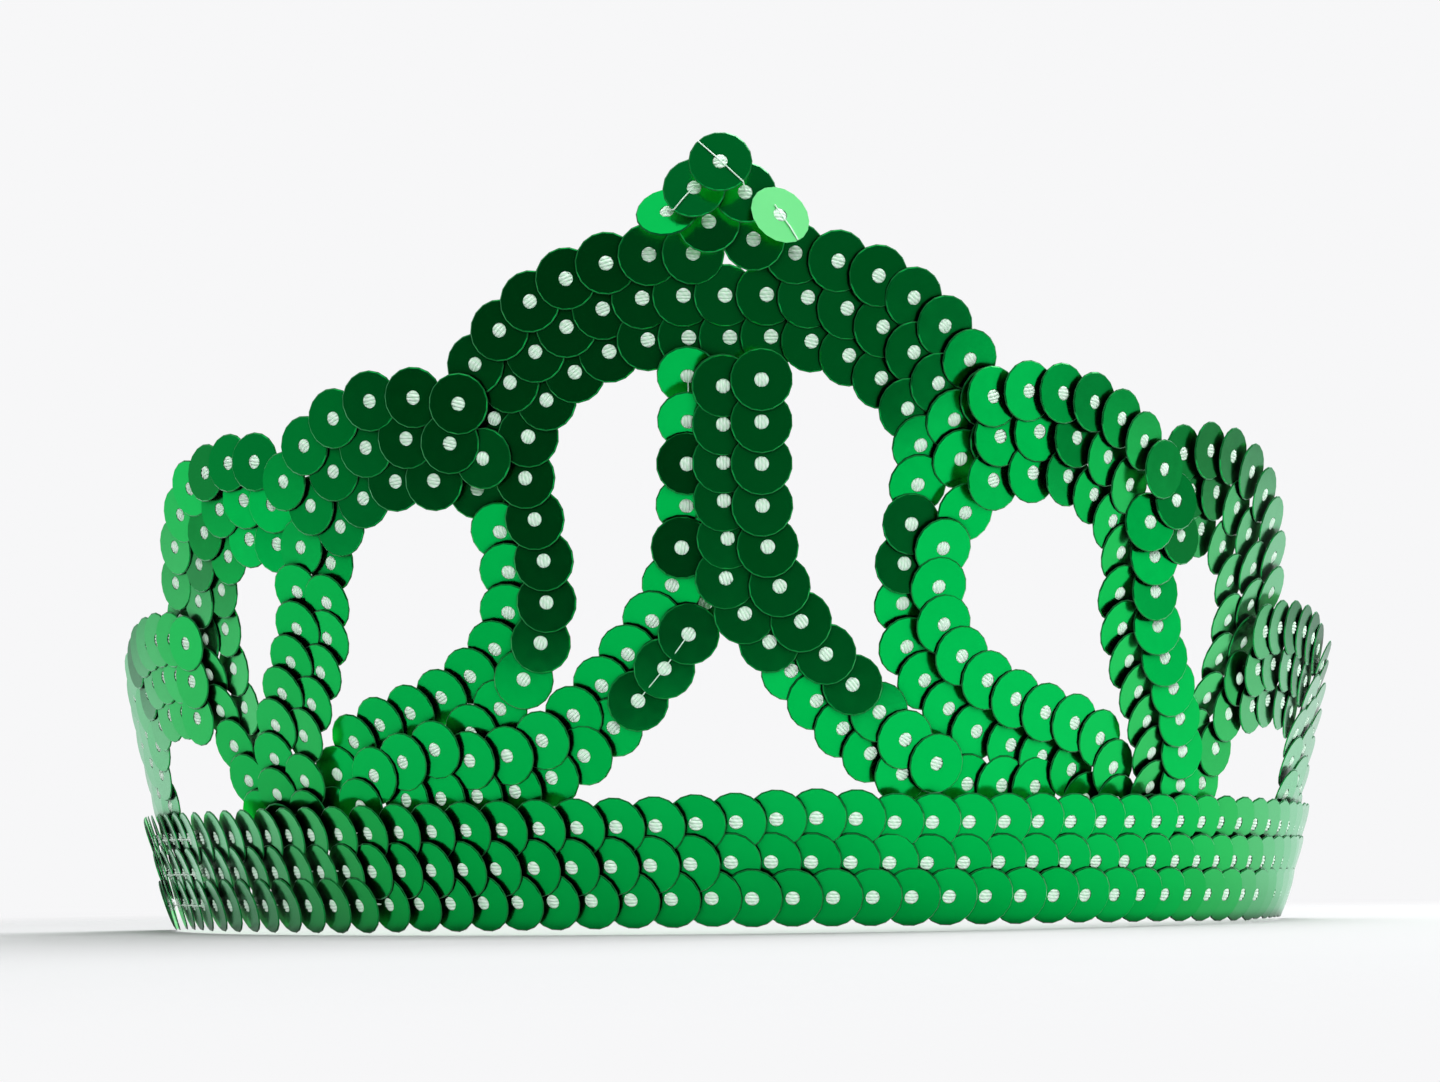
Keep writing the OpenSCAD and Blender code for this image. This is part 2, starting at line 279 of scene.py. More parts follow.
def smooth(rows, fine=10):
    """A route's table as close points on a smooth curve."""
    q = [[2 * a - b for a, b in zip(rows[0], rows[1])], *rows,
         [2 * a - b for a, b in zip(rows[-1], rows[-2])]]
    out = []
    for i in range(1, len(q) - 2):
        for k in range(fine):
            t = k / fine
            out.append([0.5 * (2 * b + (c - a) * t + (2 * a - 5 * b + 4 * c - d) * t * t
                               + (3 * b - 3 * c + d - a) * t * t * t)
                        for a, b, c, d in zip(q[i - 1], q[i], q[i + 1], q[i + 2])])
    return out + [list(rows[-1])]


def both_halves(half):
    """The right half of a route with its mirror image in front of it."""
    return [[-p[0], *p[1:]] for p in half[:0:-1]] + half


def row_path(route, place, side):
    """The path of one row at its place across the strip: (distance, s, v, layer), per point."""
    out, total = [], 0.0
    for i, p in enumerate(route):
        a, b = route[max(i - 1, 0)], route[min(i + 1, len(route) - 1)]
        ds, dv = (b[0] - a[0]) * stretch(p[1]), b[1] - a[1]
        m = math.hypot(ds, dv)
        s = side * (p[0] - place * p[2] * dv / m / stretch(p[1]))
        v = p[1] + place * p[2] * ds / m
        if out:
            s0, v0 = out[-1][1:3]
            total += math.hypot((s - s0) * stretch((v + v0) / 2), v - v0)
        out.append((total, s, v, p[3]))
    return out


def on_path(path, d):
    """s, v and layer at distance d of a row's path, run straight on past its ends."""
    i = 1
    while i < len(path) - 1 and path[i][0] < d:
        i += 1
    a, b = path[i - 1], path[i]
    k = (d - a[0]) / (b[0] - a[0])
    return [x + (y - x) * k for x, y in zip(a[1:], b[1:])]


def wall_axes(s, v, ds, dv, near=0.01):
    """Unit directions at a point of the wall: along the given step, across it, and outward."""
    sideways = (wall(s + near, v, 0) - wall(s - near, v, 0)).normalized()
    up = (wall(s, v + near, 0) - wall(s, v - near, 0)).normalized()
    along = (sideways * ds * stretch(v) + up * dv).normalized()
    out = sideways.cross(up).normalized()
    return along, out.cross(along).normalized(), out


def read_off(table, x):
    """A table's value at x, straight between its rows."""
    for (x0, y0), (x1, y1) in zip(table, table[1:]):
        if x <= x1:
            return y0 + (y1 - y0) * min(max((x - x0) / (x1 - x0), 0), 1)
    return table[-1][1]


def in_view(s, v, n):
    """Where a sequin out of the wall's own surface goes, to stay in front of the same place."""
    base = BASE_R + v * math.sin(FLARE)
    return s * base / (base + n * math.cos(FLARE)), v + n * math.tan(FLARE)


def turned(along, across, out, lean_along, lean_across, nod):
    """The turn of a sequin: its own X along the row, Z outward, then its leans and its nod up."""
    z = (out - along * math.tan(math.radians(lean_along))
         - across * math.tan(math.radians(lean_across))
         + Vector((0, 0, 1)) * math.tan(math.radians(nod))).normalized()
    x = (along - z * along.dot(z)).normalized()
    return Matrix((x, z.cross(x), z)).transposed()


def turned_over(turn):
    """A sequin's turn with its other face outward."""
    return turn @ Matrix.Rotation(math.pi, 3, "X")


def lay_rows(node, ahead=0.1):
    """Centre and turn of every sequin of a strip, row by row."""
    side = -1 if node.endswith("_left") else 1
    kind = node.split("_")[0]
    route = smooth(ROUTES[kind])
    if kind == "main":
        route = both_halves(route)
    rows = []
    for place, first, last, count, lean_along, lean_across, lift in ROWS[node]:
        path = row_path(route, place, side)
        row = []
        for i in range(count):
            d = first + (last - first) * i / max(count - 1, 1)
            s, v, layer = on_path(path, d)
            next_s, next_v, _ = on_path(path, d + ahead)
            along, across, out = wall_axes(s, v, next_s - s, next_v - v)
            # the left centre strip lies in the middle layer, behind the right one's top
            n = 0 if node == "centre_strip_left" else layer * LAYER_STEP
            lean = lean_along
            if kind == "base":
                lean = read_off(BAND_LEAN, s)
                v += read_off(BAND_BULGE[place], s)
                s = in_view(s, v, n)[0]
            else:
                s, v = in_view(s, v, n)
            row.append([wall(s, v, n + lift),
                        turned(along, across * side, out, lean, lean_across, 0)])
        rows.append(row)
    return rows


def lay_peak():
    """The peak's loose sequins as one row."""
    row = []
    for s, v, place, nod, yaw, pale_side in PEAK:
        along, across, out = wall_axes(s, v, 1, 0)
        n = PEAK_FIRST_N + place * PEAK_STEP
        turn = turned(along, across, out, -yaw, 0, nod)
        row.append([wall(*in_view(s, v, n), n), turned_over(turn) if pale_side else turn])
    return [row]


def outward(disc):
    """The side of a sequin that faces away from the wall, whichever face that is."""
    centre, turn = disc
    z = turn.col[2]
    return z if z.x * centre.x + z.y * (centre.y - PLAN_Y * MM) > 0 else -z


def settle(discs, least_lap=0.3, alike=0.8, share=0.4, rounds=80):
    """Pushes overlapping sequins apart along their own faces' directions, a share of the way in
    each round, so that their middle planes come to lie about LAP_GAP apart. Pairs that lap by
    less than least_lap, or that face apart, are left as they are."""
    outs = [outward(disc) for disc in discs]
    pairs = []
    for i, (a, _) in enumerate(discs):
        for j in range(i):
            b = discs[j][0]
            z = (outs[i] + outs[j]).normalized()
            step = (b - a) - z * (b - a).dot(z)
            reach = step.length / MM
            facing = z.dot(outs[i])
            if (a - b).length > SEQUIN_D * MM or reach > SEQUIN_D - least_lap or facing < alike:
                continue
            # the heights of one over the other at the middle of their lap and at its four tips
            step.normalize()
            across = step.cross(z) * math.sqrt(SEQUIN_D ** 2 - reach ** 2) / 2 * MM
            along = step * (SEQUIN_D - reach) / 2 * MM
            mid = (a + b) / 2
            heights = [((a - p).dot(outs[i]) / facing - (b - p).dot(outs[j]) / z.dot(outs[j])) / MM
                       for p in (mid, mid + across, mid - across, mid + along, mid - along)]
            pairs.append((i, j, min(heights), max(heights)))
    lift = [0.0] * len(discs)
    for _ in range(rounds):
        for i, j, low, high in pairs:
            between = lift[i] - lift[j]
            if low + high >= 0:
                push = max(LAP_GAP - low - between, 0)
            else:
                push = min(-LAP_GAP - high - between, 0)
            lift[i] = min(max(lift[i] + push * share, -LAP_MOST), LAP_MOST)
            lift[j] = min(max(lift[j] - push * share, -LAP_MOST), LAP_MOST)
    for disc, z, up in zip(discs, outs, lift):
        disc[0] = disc[0] + z * up * MM


def geometry_tree(name, sizes):
    """A geometry tree with its named inputs, and the sockets that give them inside it."""
    tree = bpy.data.node_groups.new(name, "GeometryNodeTree")
    tree.interface.new_socket("Geometry", in_out="INPUT", socket_type="NodeSocketGeometry")
    tree.interface.new_socket("Geometry", in_out="OUTPUT", socket_type="NodeSocketGeometry")
    kinds = {float: "NodeSocketFloat", int: "NodeSocketInt"}
    for label, value in sizes.items():
        kind = kinds.get(type(value), "NodeSocketMaterial")
        item = tree.interface.new_socket(label, in_out="INPUT", socket_type=kind)
        if value is not None:
            item.default_value = value
    return tree, add(tree, "NodeGroupInput").outputs


def sequin_tree(sharp_above=0.4, front_above=0.2):
    """Sets one sequin on every point: a flat ring of film with a cut edge, leaned by the point's
    turn and then a little unevenly, with its own pattern place and shade stored. Edges that bend
    by more than sharp_above radians are sharp, and faces whose normal rises by more than
    front_above belong to the front."""
    tree, given = geometry_tree("Sequins on points", {
        "Radius": SEQUIN_D / 2 * MM, "Flat radius": (SEQUIN_D / 2 - CUT_EDGE) * MM,
        "Hole radius": HOLE_D / 2 * MM, "Half thickness": SEQUIN_T / 2 * MM,
        "Sides": SEQUIN_SIDES, "Unevenness": math.radians(UNEVEN), "Seed": 1,
        "Film": None, "Back": None})
    edge, flat, hole, top = [given[size] for size in
                             ("Radius", "Flat radius", "Hole radius", "Half thickness")]
    low = add(tree, "ShaderNodeMath", {0: top, 1: -1}, operation="MULTIPLY").outputs[0]

    # a flat grid of five rows, as long as one turn in radians, is bent round: its rows are the
    # rings at the hole's front, the flat face's end, the rim behind, and the hole's back and front
    columns = add(tree, "ShaderNodeMath", {0: given["Sides"], 1: 1}, operation="ADD")
    grid = add(tree, "GeometryNodeMeshGrid", {
        "Size X": 4, "Size Y": 2 * math.pi, "Vertices X": 5, "Vertices Y": columns.outputs[0]})
    here = add(tree, "GeometryNodeInputPosition").outputs[0]
    on_grid = add(tree, "ShaderNodeSeparateXYZ", {0: here}).outputs
    ring = add(tree, "ShaderNodeMath", {0: on_grid["X"], 1: 2}, operation="ADD").outputs[0]
    section = []
    for sizes in ((hole, flat, edge, hole, hole), (top, top, low, low, top)):
        pick = add(tree, "GeometryNodeIndexSwitch", {"Index": ring}, data_type="FLOAT")
        while len(pick.index_switch_items) < len(sizes):
            pick.index_switch_items.new()
        for number, size in enumerate(sizes, 1):
            tree.links.new(size, pick.inputs[number])
        section.append(pick.outputs[0])
    straight = add(tree, "ShaderNodeCombineXYZ", {"X": section[0], "Z": section[1]}).outputs[0]
    swung = add(tree, "ShaderNodeVectorRotate", {"Vector": straight, "Angle": on_grid["Y"]},
                rotation_type="Z_AXIS")
    bent = add(tree, "GeometryNodeSetPosition", {
        "Geometry": grid.outputs["Mesh"], "Position": swung.outputs[0]})
    disc = add(tree, "GeometryNodeMergeByDistance", {"Geometry": bent.outputs[0],
                                                     "Distance": 0.001 * MM})

    mapped = add(tree, "GeometryNodeStoreNamedAttribute", {
        "Geometry": disc.outputs[0], "Name": "sequin_place", "Value": here},
        data_type="FLOAT_VECTOR", domain="POINT")
    normal = add(tree, "GeometryNodeInputNormal").outputs[0]
    upward = add(tree, "ShaderNodeSeparateXYZ", {0: normal}).outputs["Z"]
    is_front = add(tree, "FunctionNodeCompare", {"A": upward, "B": front_above},
                   data_type="FLOAT", operation="GREATER_THAN")
    fronted = add(tree, "GeometryNodeStoreNamedAttribute", {
        "Geometry": mapped.outputs[0], "Name": "front", "Value": is_front.outputs[0]},
        data_type="BOOLEAN", domain="FACE")
    bend = add(tree, "GeometryNodeInputMeshEdgeAngle").outputs[0]
    is_sharp = add(tree, "FunctionNodeCompare", {"A": bend, "B": sharp_above},
                   data_type="FLOAT", operation="GREATER_THAN")
    creased = add(tree, "GeometryNodeStoreNamedAttribute", {
        "Geometry": fronted.outputs[0], "Name": "sharp_edge", "Value": is_sharp.outputs[0]},
        data_type="BOOLEAN", domain="EDGE")

    shade = add(tree, "FunctionNodeRandomValue", {"Seed": given["Seed"]}, data_type="FLOAT")
    shaded = add(tree, "GeometryNodeStoreNamedAttribute", {
        "Geometry": given["Geometry"], "Name": "shade", "Value": shade.outputs[1]},
        data_type="FLOAT", domain="POINT")
    turn = add(tree, "GeometryNodeInputNamedAttribute", {"Name": "turn"}, data_type="FLOAT_VECTOR")
    placed = add(tree, "GeometryNodeInstanceOnPoints", {
        "Points": shaded.outputs[0], "Instance": creased.outputs[0],
        "Rotation": turn.outputs["Attribute"]})
    other_seed = add(tree, "ShaderNodeMath", {0: given["Seed"], 1: 7}, operation="ADD")
    least = add(tree, "ShaderNodeMath", {0: given["Unevenness"], 1: -1}, operation="MULTIPLY")
    uneven = add(tree, "FunctionNodeRandomValue", {
        "Seed": other_seed.outputs[0], "Min": least.outputs[0], "Max": given["Unevenness"]},
        data_type="FLOAT_VECTOR")
    leaned = add(tree, "GeometryNodeRotateInstances", {
        "Instances": placed.outputs[0], "Rotation": uneven.outputs[0]})

    real = add(tree, "GeometryNodeRealizeInstances", {"Geometry": leaned.outputs[0]})
    filmed = add(tree, "GeometryNodeSetMaterial", {
        "Geometry": real.outputs[0], "Material": given["Film"]})
    front = add(tree, "GeometryNodeInputNamedAttribute", {"Name": "front"}, data_type="BOOLEAN")
    behind = add(tree, "FunctionNodeBooleanMath", {0: front.outputs["Attribute"]}, operation="NOT")
    backed = add(tree, "GeometryNodeSetMaterial", {
        "Geometry": filmed.outputs[0], "Selection": behind.outputs[0], "Material": given["Back"]})
    add(tree, "NodeGroupOutput", {0: backed.outputs[0]})
    return tree


def sweep_thread(tree, given, path):
    """A round thread along a path inside a tree, closed at its ends."""
    radius = add(tree, "ShaderNodeMath", {0: given["Strand"], 1: 0.5}, operation="MULTIPLY")
    profile = add(tree, "GeometryNodeCurvePrimitiveCircle", {
        "Resolution": THREAD_SIDES, "Radius": radius.outputs[0]}, mode="RADIUS")
    return add(tree, "GeometryNodeCurveToMesh", {
        "Curve": path, "Profile Curve": profile.outputs[0], "Fill Caps": True}).outputs[0]


def end_thread_tree(tree, given, thread):
    """The end of both thread trees: shaded smooth, made real and given its material."""
    rounded = add(tree, "GeometryNodeSetShadeSmooth", {"Geometry": thread})
    real = add(tree, "GeometryNodeRealizeInstances", {"Geometry": rounded.outputs[0]})
    done = add(tree, "GeometryNodeSetMaterial", {
        "Geometry": real.outputs[0], "Material": given["Thread"]})
    add(tree, "NodeGroupOutput", {0: done.outputs[0]})


def stitch_tree():
    """Sets strands of thread through the hole at every point, short arched tubes that fill it."""
    tree, given = geometry_tree("Stitches through holes", {
        "Length": STITCH_LENGTH * MM, "Rise": STITCH_RISE * MM, "Strand": STITCH_STRAND * MM,
        "Thread": None})
    size = add(tree, "ShaderNodeCombineXYZ", {"X": given["Length"], "Z": given["Rise"]}).outputs[0]
    bends = {name: add(tree, "ShaderNodeVectorMath", {0: size, 1: share},
                       operation="MULTIPLY").outputs[0]
             for name, share in STITCH_ARC.items()}
    arc = add(tree, "GeometryNodeCurveQuadraticBezier", {"Resolution": 3, **bends})
    strand = sweep_thread(tree, given, arc.outputs[0])
    joined = add(tree, "GeometryNodeJoinGeometry")
    for share, shorter in STITCH_STRANDS:
        shift = add(tree, "ShaderNodeVectorMath", {0: (0, share, 0), "Scale": given["Strand"]},
                    operation="SCALE")
        moved = add(tree, "GeometryNodeTransform", {
            "Geometry": strand, "Translation": shift.outputs[0], "Scale": (shorter, 1, shorter)})
        tree.links.new(moved.outputs[0], joined.inputs[0])
    turn = add(tree, "GeometryNodeInputNamedAttribute", {"Name": "turn"}, data_type="FLOAT_VECTOR")
    placed = add(tree, "GeometryNodeInstanceOnPoints", {
        "Points": given["Geometry"], "Instance": joined.outputs[0],
        "Rotation": turn.outputs["Attribute"]})
    end_thread_tree(tree, given, placed.outputs[0])
    return tree


def strand_tree():
    """Sweeps a round thread along every path of edges."""
    tree, given = geometry_tree("Thread along a path", {"Strand": STRAND * MM, "Thread": None})
    path = add(tree, "GeometryNodeMeshToCurve", {0: given["Geometry"]})
    end_thread_tree(tree, given, sweep_thread(tree, given, path.outputs[0]))
    return tree


def run_tree(name, mesh, tree, inputs):
    """Runs a geometry tree on a mesh and returns the result as a plain object."""
    source = bpy.data.objects.new(name + "_source", mesh)
    bpy.context.scene.collection.objects.link(source)
    modifier = source.modifiers.new("tree", "NODES")
    modifier.node_group = tree
    for item in tree.interface.items_tree:
        if item.in_out == "INPUT" and item.name in inputs:
            modifier[item.identifier] = inputs[item.name]
    graph = bpy.context.evaluated_depsgraph_get()
    result = bpy.data.meshes.new_from_object(source.evaluated_get(graph), depsgraph=graph)
    bpy.data.objects.remove(source)
    result.name = name
    out = bpy.data.objects.new(name, result)
    bpy.context.scene.collection.objects.link(out)
    return out


def point_mesh(name, discs):
    """The centres of sequins as loose points, each with its turn."""
    mesh = bpy.data.meshes.new(name)
    mesh.from_pydata([centre for centre, _ in discs], [], [])
    turns = mesh.attributes.new("turn", "FLOAT_VECTOR", "POINT")
    for item, (_, turn) in zip(turns.data, discs):
        item.vector = turn.to_euler("XYZ")
    return mesh


def path_mesh(name, paths):
    """Open paths of points as a mesh of edges."""
    points, edges = [], []
    for path in paths:
        first = len(points)
        points += path
        edges += [(first + k, first + k + 1) for k in range(len(path) - 1)]
    mesh = bpy.data.meshes.new(name)
    mesh.from_pydata(points, edges, [])
    return mesh


def join(name, objects):
    """Joins plain mesh objects into one."""
    with bpy.context.temp_override(active_object=objects[0], selected_editable_objects=objects):
        bpy.ops.object.join()
    objects[0].name = name
    objects[0].data.name = name
    return objects[0]


def principled(name):
    """A new material with its tree and its main shader."""
    material = bpy.data.materials.new(name)
    material.use_nodes = True
    tree = material.node_tree
    return material, tree, tree.nodes["Principled BSDF"]


def film_material():
    """Polyester film, vacuum metallised and dyed green: a tinted mirror, a little scuffed, with a
    painted pale reflection where it is seen at a slant and painted shade close under the next
    sequin's lapped edge. Its die-cut edge shows only as a thin dull line."""
    material, tree, shader = principled("Metallised green polyester film")
    place = add(tree, "ShaderNodeAttribute", attribute_name="sequin_place").outputs["Vector"]
    shade = add(tree, "ShaderNodeAttribute", attribute_name="shade").outputs["Fac"]
    tint = add(tree, "ShaderNodeMix", {0: shade, MIX_A: to_linear("00be50"),
                                       MIX_B: to_linear("06c657")}, data_type="RGBA")
    # painted reflection: the colour pales towards 74c596, and the cut edge's towards 74bd92, where
    # the film is seen at a slant
    slant = add(tree, "ShaderNodeLayerWeight", {"Blend": 0.5}).outputs["Facing"]
    painted_slant_sheen = add(tree, "ShaderNodeMapRange", {0: slant, "From Min": 0.35, "From Max": 0.85},
                interpolation_type="SMOOTHSTEP").outputs[0]
    face = add(tree, "ShaderNodeMix", {0: painted_slant_sheen, MIX_A: tint.outputs[MIX_OUT],
                                       MIX_B: to_linear("74c596")}, data_type="RGBA")
    # the colour of the cut edge comes in from 2.84 to 2.94 mm out from the sequin's middle
    flat_mm = add(tree, "ShaderNodeVectorMath", {0: place, 1: (PER_MM, PER_MM, 0)},
                  operation="MULTIPLY")
    radius = add(tree, "ShaderNodeVectorMath", {0: flat_mm.outputs[0]}, operation="LENGTH")
    edge = add(tree, "ShaderNodeMapRange", {
        0: radius.outputs["Value"], "From Min": 2.84, "From Max": 2.94}).outputs[0]
    rim = add(tree, "ShaderNodeMix", {0: painted_slant_sheen, MIX_A: to_linear("126431"),
                                      MIX_B: to_linear("74bd92")}, data_type="RGBA")
    whole = add(tree, "ShaderNodeMix", {0: edge, MIX_A: face.outputs[MIX_OUT],
                                        MIX_B: rim.outputs[MIX_OUT]}, data_type="RGBA")
    # painted shade: the colour darkens to deep green where another sequin lies within 1.6 mm, as
    # under a lapped edge
    painted_shade_ao = add(tree, "ShaderNodeAmbientOcclusion", {"Distance": 1.6 * MM}, samples=6)
    lit = add(tree, "ShaderNodeMapRange", {
        0: painted_shade_ao.outputs["AO"], "From Min": 0.45, "From Max": 0.87})
    colour = add(tree, "ShaderNodeMix", {0: lit.outputs[0], MIX_A: to_linear("053f1b"),
                                         MIX_B: whole.outputs[MIX_OUT]}, data_type="RGBA")
    metal = add(tree, "ShaderNodeMapRange", {0: edge, "To Min": 1.0, "To Max": 0.6})
    # scuffs about nine to the centimetre, coarser than real ones so that they show
    around = add(tree, "ShaderNodeTexCoord").outputs["Object"]
    scuff = add(tree, "ShaderNodeTexNoise", {
        "Vector": around, "Scale": 0.9 * PER_MM, "Detail": 3.0}).outputs["Fac"]
    rough = add(tree, "ShaderNodeMapRange", {0: scuff, "To Min": 0.15, "To Max": 0.24})
    dull = add(tree, "ShaderNodeMath", {0: edge, 1: 0.45}, operation="MULTIPLY")
    soft = add(tree, "ShaderNodeMath", {0: rough.outputs[0], 1: dull.outputs[0]},
               operation="MAXIMUM")
    bump = add(tree, "ShaderNodeBump", {"Height": scuff, "Strength": 0.2, "Distance": 0.02 * MM})
    tree.links.new(colour.outputs[MIX_OUT], shader.inputs["Base Color"])
    tree.links.new(metal.outputs[0], shader.inputs["Metallic"])
    tree.links.new(soft.outputs[0], shader.inputs["Roughness"])
    tree.links.new(bump.outputs[0], shader.inputs["Normal"])
    return material


def back_material():
    """The film's back, without the gloss of its front: a pale satin green that scatters most of
    what it gets, with painted shade, a dark green, where the next sequin shuts it in."""
    material, tree, shader = principled("Satin back of the film")
    shader.inputs["Roughness"].default_value = 0.38
    shader.inputs["Metallic"].default_value = 0.25
    shade = add(tree, "ShaderNodeAttribute", attribute_name="shade").outputs["Fac"]
    tint = add(tree, "ShaderNodeMix", {0: shade, MIX_A: to_linear("62d47c"),
                                       MIX_B: to_linear("74e08c")}, data_type="RGBA")
    # painted shade: the colour darkens to deep green where another sequin lies within 1.5 mm
    painted_shade_ao = add(tree, "ShaderNodeAmbientOcclusion", {"Distance": 1.5 * MM}, samples=6)
    lit = add(tree, "ShaderNodeMapRange", {
        0: painted_shade_ao.outputs["AO"], "From Min": 0.35, "From Max": 0.75})
    colour = add(tree, "ShaderNodeMix", {0: lit.outputs[0], MIX_A: to_linear("08401c"),
                                         MIX_B: tint.outputs[MIX_OUT]}, data_type="RGBA")
    # a satin grain, three to every two millimetres, coarser than the real one so that it shows
    around = add(tree, "ShaderNodeTexCoord").outputs["Object"]
    grain = add(tree, "ShaderNodeTexNoise", {
        "Vector": around, "Scale": 1.5 * PER_MM, "Detail": 2.0}).outputs["Fac"]
    bump = add(tree, "ShaderNodeBump", {"Height": grain, "Strength": 0.2, "Distance": 0.02 * MM})
    tree.links.new(colour.outputs[MIX_OUT], shader.inputs["Base Color"])
    tree.links.new(bump.outputs[0], shader.inputs["Normal"])
    return material


def thread_material():
    """Spun polyester sewing thread: matt, pale mint, with its twist as fine slanting ridges."""
    material, tree, shader = principled("Spun polyester sewing thread")
    shader.inputs["Roughness"].default_value = 0.75
    shader.inputs["Sheen Weight"].default_value = 0.4
    # a wave texture has about three ridges to one of its scale: here 0.3 mm apart
    around = add(tree, "ShaderNodeTexCoord").outputs["Object"]
    twist = add(tree, "ShaderNodeTexWave", {
        "Vector": around, "Scale": 1.1 * PER_MM, "Distortion": 2.0},
        wave_type="BANDS", bands_direction="DIAGONAL").outputs["Fac"]
    tint = add(tree, "ShaderNodeMix", {0: twist, MIX_A: to_linear("d4f7de"),
                                       MIX_B: to_linear("e9fdef")}, data_type="RGBA")
    bump = add(tree, "ShaderNodeBump", {"Height": twist, "Strength": 0.25, "Distance": 0.04 * MM})
    tree.links.new(tint.outputs[MIX_OUT], shader.inputs["Base Color"])
    tree.links.new(bump.outputs[0], shader.inputs["Normal"])
    return material


def camera():
    """The camera at the photograph's angle, almost on the floor and looking slightly up."""
    forward = Vector((YAW * math.cos(PITCH), math.cos(PITCH), math.sin(PITCH))).normalized()
    right = Vector((1, -YAW, 0)).normalized()
    up = right.cross(forward)
    x = right * math.cos(ROLL) - up * math.sin(ROLL)
    y = right * math.sin(ROLL) + up * math.cos(ROLL)
    data = bpy.data.cameras.new("camera")
    data.sensor_width = SENSOR
    data.lens = FOCAL_PX / PHOTO_WIDTH_PX * SENSOR
    data.clip_start, data.clip_end = 0.01, 50.0
    place = Vector((CAMERA_RIGHT, PLAN_Y - BASE_R - CAMERA_AHEAD, CAMERA_UP)) * MM
    cam = bpy.data.objects.new("camera", data)
    cam.matrix_world = (Matrix.Translation(place)
                        @ Matrix((x, y, -forward)).transposed().to_4x4())
    bpy.context.scene.collection.objects.link(cam)
    bpy.context.scene.camera = cam


def floor_piece(name, stretches, material):
    """Flat stretches of floor, each given by its left, front, right and back edges."""
    points, faces = [], []
    for left, front, right, back in stretches:
        faces.append(tuple(range(len(points), len(points) + 4)))
        points += [(left, front, 0), (right, front, 0), (right, back, 0), (left, back, 0)]
    mesh = bpy.data.meshes.new(name)
    mesh.from_pydata(points, [], faces)
    mesh.materials.append(material)
    obj = bpy.data.objects.new(name, mesh)
    bpy.context.scene.collection.objects.link(obj)
    return obj


def table_material():
    """A matt white table: paper white where it takes the tiara's shadow, and evenly lit like the
    backdrop further away, so that no horizon shows."""
    material, tree, shader = principled("Matt white table")
    shader.inputs["Base Color"].default_value = (0.485, 0.49, 0.495, 1)
    shader.inputs["Roughness"].default_value = 0.95
    shader.inputs["Specular IOR Level"].default_value = 0.0
    around = add(tree, "ShaderNodeTexCoord").outputs["Object"]
    away = add(tree, "ShaderNodeVectorMath", {0: around}, operation="LENGTH").outputs["Value"]
    far = add(tree, "ShaderNodeMapRange", {0: away, "From Min": 0.12, "From Max": 0.24},
              interpolation_type="SMOOTHSTEP")
    even = add(tree, "ShaderNodeEmission", {"Color": to_linear(BACKDROP), "Strength": 1.0})
    both = add(tree, "ShaderNodeMixShader", {
        0: far.outputs[0], 1: shader.outputs[0], 2: even.outputs[0]})
    tree.links.new(both.outputs[0], tree.nodes["Material Output"].inputs["Surface"])
    return material


def lay_floor():
    """The table, which ends a little in front of the tiara, and beyond it an even floor that
    only the camera sees."""
    white = table_material()
    left, front, right, back = TABLE
    far_left, far_front, far_right, far_back = BEYOND
    floor_piece("table", [TABLE], white)
    beyond = floor_piece("table_beyond", [
        (far_left, far_front, far_right, front), (far_left, front, left, far_back),
        (right, front, far_right, far_back), (left, back, right, far_back)], white)
    beyond.visible_glossy = beyond.visible_diffuse = beyond.visible_shadow = False
    beyond.visible_transmission = False


def softbox(name, place, size, power, mirrored):
    """A soft square light that looks at the tiara."""
    data = bpy.data.lights.new(name, "AREA")
    data.size, data.energy = size, power
    box = bpy.data.objects.new(name, data)
    box.location = place
    box.rotation_euler = (LIGHTS_AIM - Vector(place)).to_track_quat("-Z", "Y").to_euler()
    box.visible_glossy = mirrored
    box.visible_camera = False
    bpy.context.scene.collection.objects.link(box)


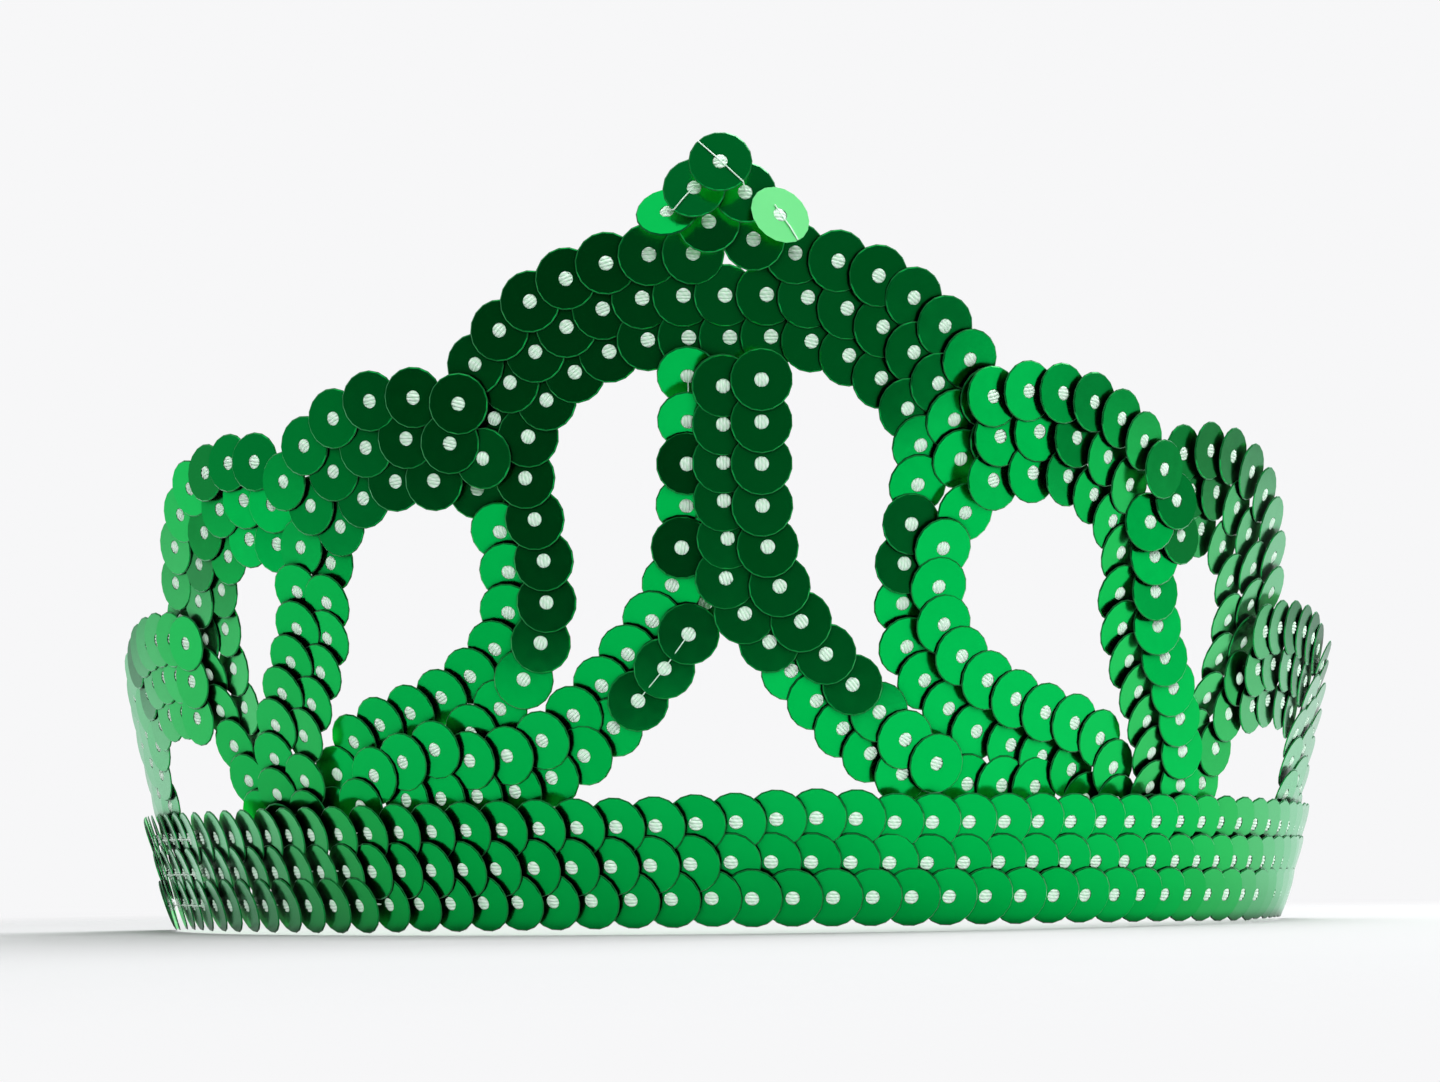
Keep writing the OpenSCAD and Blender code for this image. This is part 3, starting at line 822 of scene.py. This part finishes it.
def room():
    """What the film mirrors round it: a pale room with a dark gap on the lens side. The camera
    sees the plain backdrop instead."""
    world = bpy.data.worlds.new("studio")
    bpy.context.scene.world = world
    world.use_nodes = True
    tree = world.node_tree
    tree.nodes.clear()
    outward_way = add(tree, "ShaderNodeTexCoord").outputs["Generated"]
    way = add(tree, "ShaderNodeSeparateXYZ", {0: outward_way}).outputs
    ahead = add(tree, "ShaderNodeMath", {0: way["Y"], 1: -1.0}, operation="MULTIPLY")
    azimuth = add(tree, "ShaderNodeMath", {0: way["X"], 1: ahead.outputs[0]}, operation="ARCTAN2")
    turn = add(tree, "ShaderNodeMapRange", {
        0: azimuth.outputs[0], "From Min": -math.pi, "From Max": math.pi})
    walls = add(tree, "ShaderNodeValToRGB", {0: turn.outputs[0]})
    stops = walls.color_ramp.elements
    while len(stops) > 1:
        stops.remove(stops[0])
    stops[0].position = 0
    stops[0].color = (ROOM[0][1],) * 3 + (1,)
    for degrees, level in ROOM[1:]:
        stops.new((degrees + 180) / 360).color = (level,) * 3 + (1,)
    higher = add(tree, "ShaderNodeMapRange", {
        0: way["Z"], "From Min": LOW, "From Max": MID, "To Max": WALL_LIGHT})
    ceiling = add(tree, "ShaderNodeMapRange", {0: way["Z"], "From Min": MID, "From Max": HIGH},
                  interpolation_type="SMOOTHSTEP")
    above = add(tree, "ShaderNodeMath", {0: higher.outputs[0], 1: ceiling.outputs[0]},
                operation="MAXIMUM")
    light = add(tree, "ShaderNodeMath", {0: walls.outputs[0], 1: above.outputs[0]},
                operation="MAXIMUM")
    seen = add(tree, "ShaderNodeLightPath").outputs["Is Camera Ray"]
    shown = add(tree, "ShaderNodeBackground", {"Color": to_linear(BACKDROP), "Strength": 1.0})
    lit = add(tree, "ShaderNodeBackground", {"Color": (1, 1, 1, 1), "Strength": light.outputs[0]})
    both = add(tree, "ShaderNodeMixShader", {0: seen, 1: lit.outputs[0], 2: shown.outputs[0]})
    add(tree, "ShaderNodeOutputWorld", {0: both.outputs[0]})


def peak_threads(row):
    """The peak's threads that show: one over the tip to a hole on its right, one from hole to hole
    on its left, and one over the pale sequin. Each point is a sequin's number and mm along,
    across and out of its face."""
    def over(number, along=0.0, across=0.0, up=0.2):
        centre, turn = row[number]
        out = outward(row[number])
        return centre + (out * up + turn.col[0] * along + turn.col[1] * across) * MM
    return [[over(6, -2.05, 2.05, 0.1), over(6, -0.9, 0.9), over(6), over(6, 0.9, -0.9),
             over(6, 2.1, -2.1, 0.12), over(5, 0, 0, 0.25)],
            [over(4), over(4, -1.0, -1.1), over(4, -1.9, -2.2, 0.1), over(2)],
            [over(3, -0.6, -0.9), over(3), over(3, 0.9, 1.2), over(3, 1.7, 2.4, 0.1)]]


def row_threads(node, rows):
    """The path of each row's thread: behind the holes with a little slack between them, or in
    front where it has slipped over the sequins."""
    paths = []
    for number, row in enumerate(rows):
        path = []
        for k, (centre, turn) in enumerate(row):
            out = turn.col[2]
            slipped = (node, number) in SLIPPED_ROWS or (
                node == "base_band" and SLIPPED_BAND[0] < centre.x < SLIPPED_BAND[1])
            at_hole, between = THREAD_IN_FRONT if slipped else THREAD_BEHIND
            if k:
                path.append((row[k - 1][0] + centre) / 2 + out * between * MM)
            path.append(centre + out * at_hole * MM)
        if len(path) > 1:
            paths.append(path)
    return paths


camera()
lay_floor()
room()
for light in SOFTBOXES:
    softbox(*light)
bpy.context.scene.view_settings.view_transform = "Standard"

film = film_material()
satin = back_material()
thread = thread_material()
sequins_on = sequin_tree()
stitches_on = stitch_tree()
strand_on = strand_tree()

# every strip's sequins settle against each other before any is made; a piece's seed is its number
strips = {node: lay_rows(node) for node in ROWS}
strips["peak_sequins"] = lay_peak()
settle([disc for rows in strips.values() for row in rows for disc in row])
for number, (node, rows) in enumerate(strips.items()):
    discs = [disc for row in rows for disc in row]
    trim = run_tree("sequins_" + node, point_mesh(node + "_points", discs), sequins_on,
                    {"Film": film, "Back": satin, "Seed": number})
    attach(trim, "root")
    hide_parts(node)
    faced = [(centre, turn if outward((centre, turn)).dot(turn.col[2]) > 0 else turned_over(turn))
             for centre, turn in discs]
    stitches = run_tree("stitches", point_mesh(node + "_holes", faced), stitches_on,
                        {"Thread": thread})
    paths = peak_threads(rows[0]) if node == "peak_sequins" else row_threads(node, rows)
    strands = run_tree("strands", path_mesh(node + "_thread", paths), strand_on,
                       {"Thread": thread, "Strand": THIN_STRAND.get(node, STRAND) * MM})
    sewn = join("thread_" + node, [stitches, strands])
    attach(sewn, "root")
